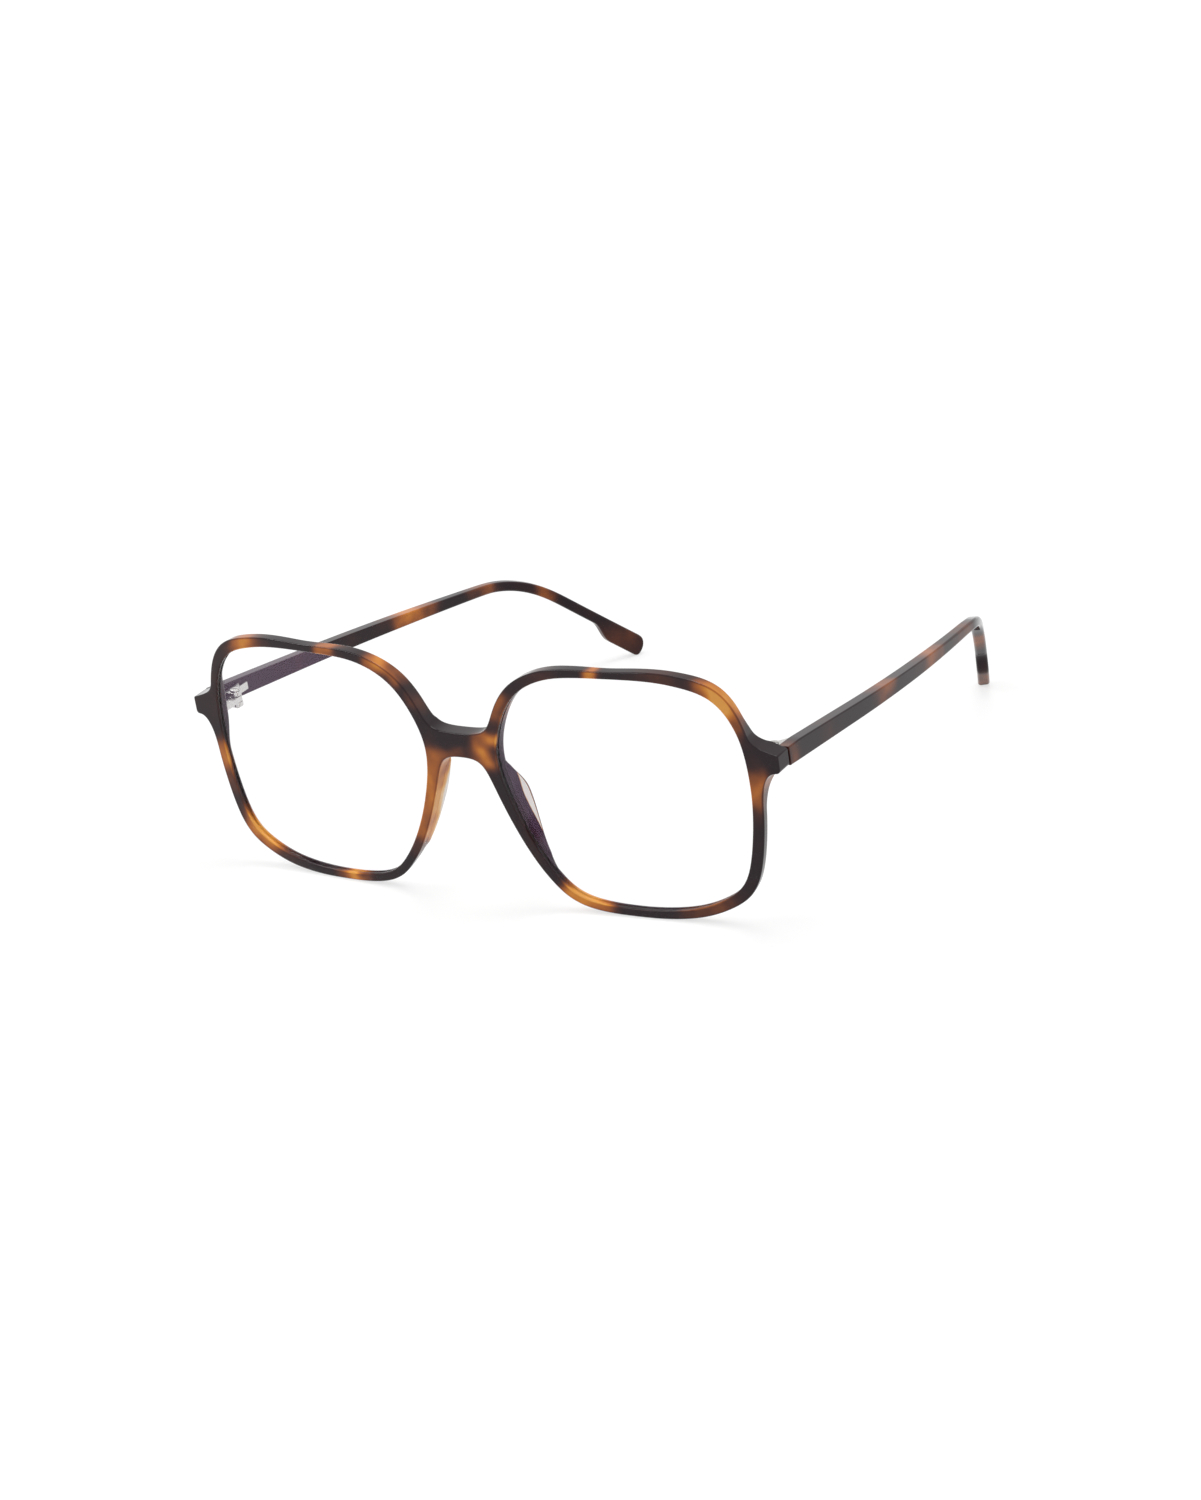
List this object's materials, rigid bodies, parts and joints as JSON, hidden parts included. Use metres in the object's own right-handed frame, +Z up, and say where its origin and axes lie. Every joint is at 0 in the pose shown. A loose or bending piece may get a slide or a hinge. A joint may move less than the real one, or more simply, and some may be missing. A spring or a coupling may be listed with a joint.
{
  "type": "eyeglasses frame",
  "caption": "Slim square acetate eyeglasses frame with clear lenses, glued nose pads and two temples that fold inward on screwed metal hinges.",
  "frame": {"origin": "on the surface that the open frame stands on, under the middle of its overall box", "axes": "+X to the wearer's left, +Y backward along the temples, +Z up; the open frame stands on its lower rims and its temple tips"},
  "size_m": [0.1406, 0.1456, 0.0536],
  "materials": {
    "tortoise_acetate": "polished dark tortoise acetate with amber patches",
    "clear_lens": "clear, with a faint violet coating",
    "hinge_metal": "nickel-silver grey",
    "core_metal": "plain wire"
  },
  "bodies": {
    "front": {"front_frame": "tortoise_acetate", "left_lens": "clear_lens", "right_lens": "clear_lens", "left_nose_pad": "tortoise_acetate", "right_nose_pad": "tortoise_acetate", "left_front_hinge": "hinge_metal", "right_front_hinge": "hinge_metal", "left_hinge_screw": "hinge_metal", "right_hinge_screw": "hinge_metal"},
    "left_arm": {"left_temple": "tortoise_acetate", "left_temple_core": "core_metal", "left_temple_hinge": "hinge_metal"},
    "right_arm": {"right_temple": "tortoise_acetate", "right_temple_core": "core_metal", "right_temple_hinge": "hinge_metal"}
  },
  "joints": [
    {"name": "left_fold", "type": "hinge", "parent": "front", "child": "left_arm", "pos_m": [0.065, -0.05886, 0.03447], "axis": [0, -0.0624, 0.998], "range_deg": [0, 85]},
    {"name": "right_fold", "type": "hinge", "parent": "front", "child": "right_arm", "pos_m": [-0.065, -0.05886, 0.03447], "axis": [0, 0.0624, -0.998], "range_deg": [0, 81]}
  ]
}
